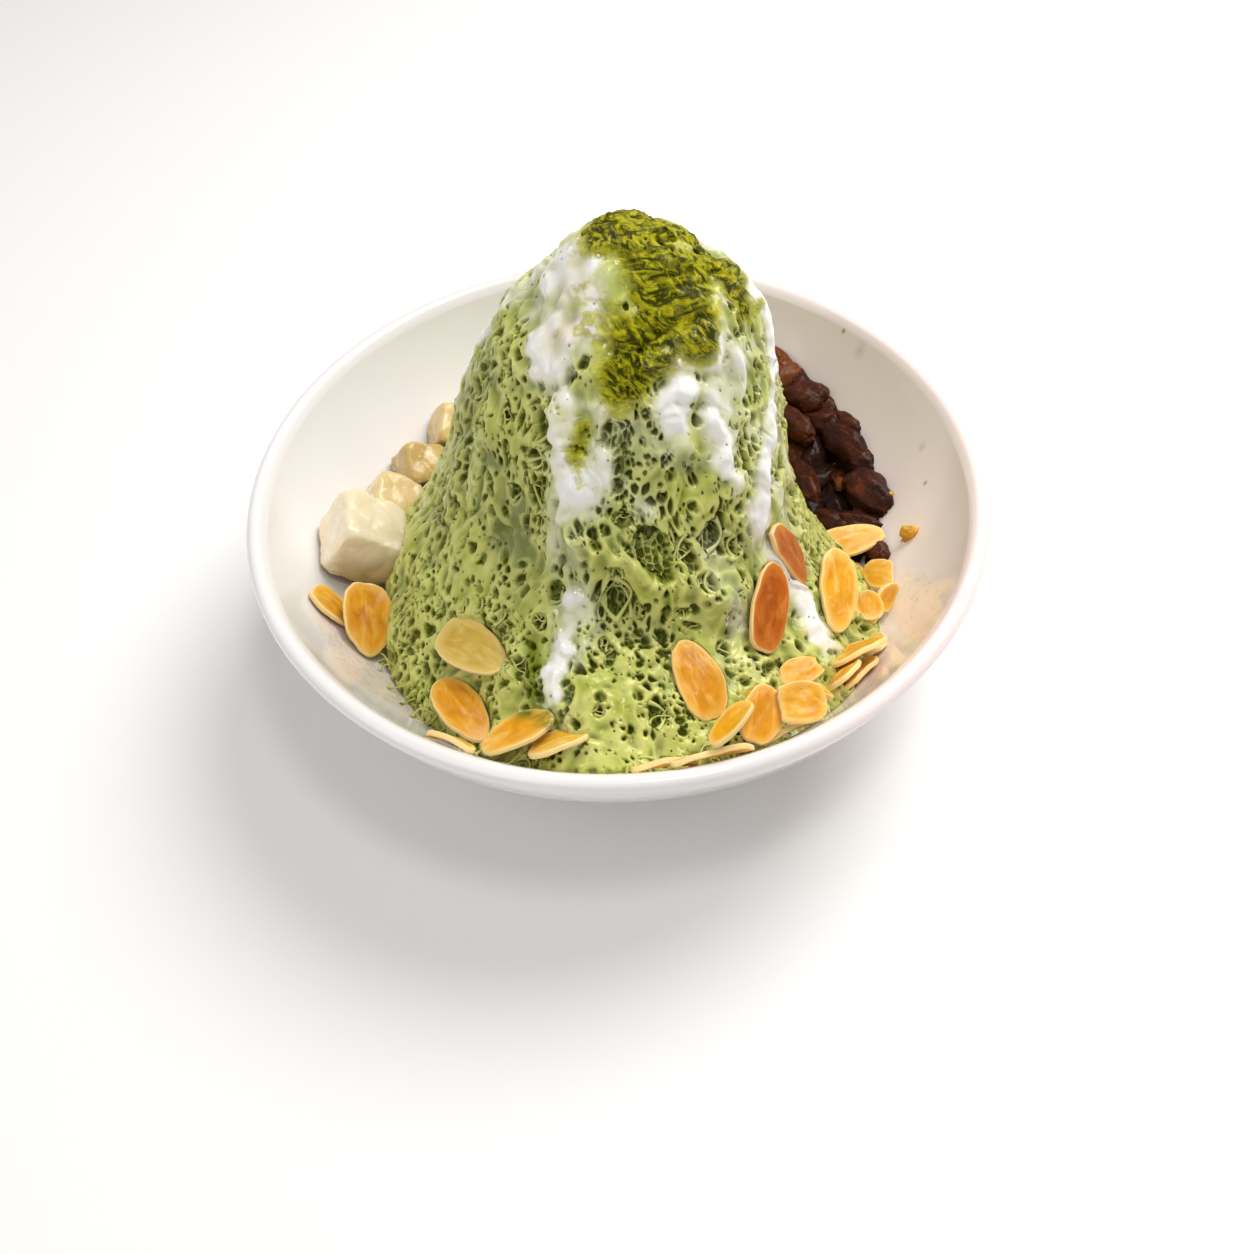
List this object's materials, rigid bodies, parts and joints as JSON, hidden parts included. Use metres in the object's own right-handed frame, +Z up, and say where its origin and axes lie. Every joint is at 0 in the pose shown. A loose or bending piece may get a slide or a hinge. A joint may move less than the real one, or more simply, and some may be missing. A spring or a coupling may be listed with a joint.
{
  "type": "bingsu",
  "caption": "Mound of green tea shaved ice with condensed milk, matcha, sweet red beans, rice cakes and sliced almonds, in its round footed bowl.",
  "frame": {"origin": "centre of the bowl's foot, on the surface that it stands on", "axes": "+Z up along the bowl's axis, -Y towards the front, where the ice runs out to the rim, +X towards the red beans"},
  "size_m": [0.18, 0.18, 0.127],
  "materials": {
    "glaze": "glossy white glaze with faint tan specks",
    "shaved_ice": "wet green tea ice, open and lacy",
    "red_bean": "sweet red beans in syrup",
    "rice_cake": "soft translucent rice cake",
    "almond": "roasted almond slice, golden",
    "almond_green": "almond slice tinted by green tea",
    "almond_toasted": "almond slice, toasted brown"
  },
  "bodies": {
    "root": {"bowl": "glaze", "ice_mound": "shaved_ice", "red_beans": "red_bean", "rice_cake_1": "rice_cake", "rice_cake_2": "rice_cake", "rice_cake_3": "rice_cake", "rice_cake_4": "rice_cake", "almond_slice_01": "almond", "almond_slice_02": "almond", "almond_slice_03": "almond_green", "almond_slice_04": "almond", "almond_slice_05": "almond", "almond_slice_06": "almond", "almond_slice_07": "almond", "almond_slice_08": "almond", "almond_slice_09": "almond", "almond_slice_10": "almond", "almond_slice_11": "almond", "almond_slice_12": "almond", "almond_slice_13": "almond", "almond_slice_14": "almond", "almond_slice_15": "almond", "almond_slice_16": "almond", "almond_slice_17": "almond", "almond_slice_18": "almond", "almond_slice_19": "almond", "almond_slice_20": "almond", "almond_slice_21": "almond", "almond_slice_22": "almond", "almond_slice_23": "almond", "almond_slice_24": "almond", "almond_slice_25": "almond", "almond_slice_26": "almond", "almond_slice_27": "almond", "almond_slice_28": "almond", "almond_slice_29": "almond_toasted", "almond_slice_30": "almond_toasted"}
  },
  "joints": []
}
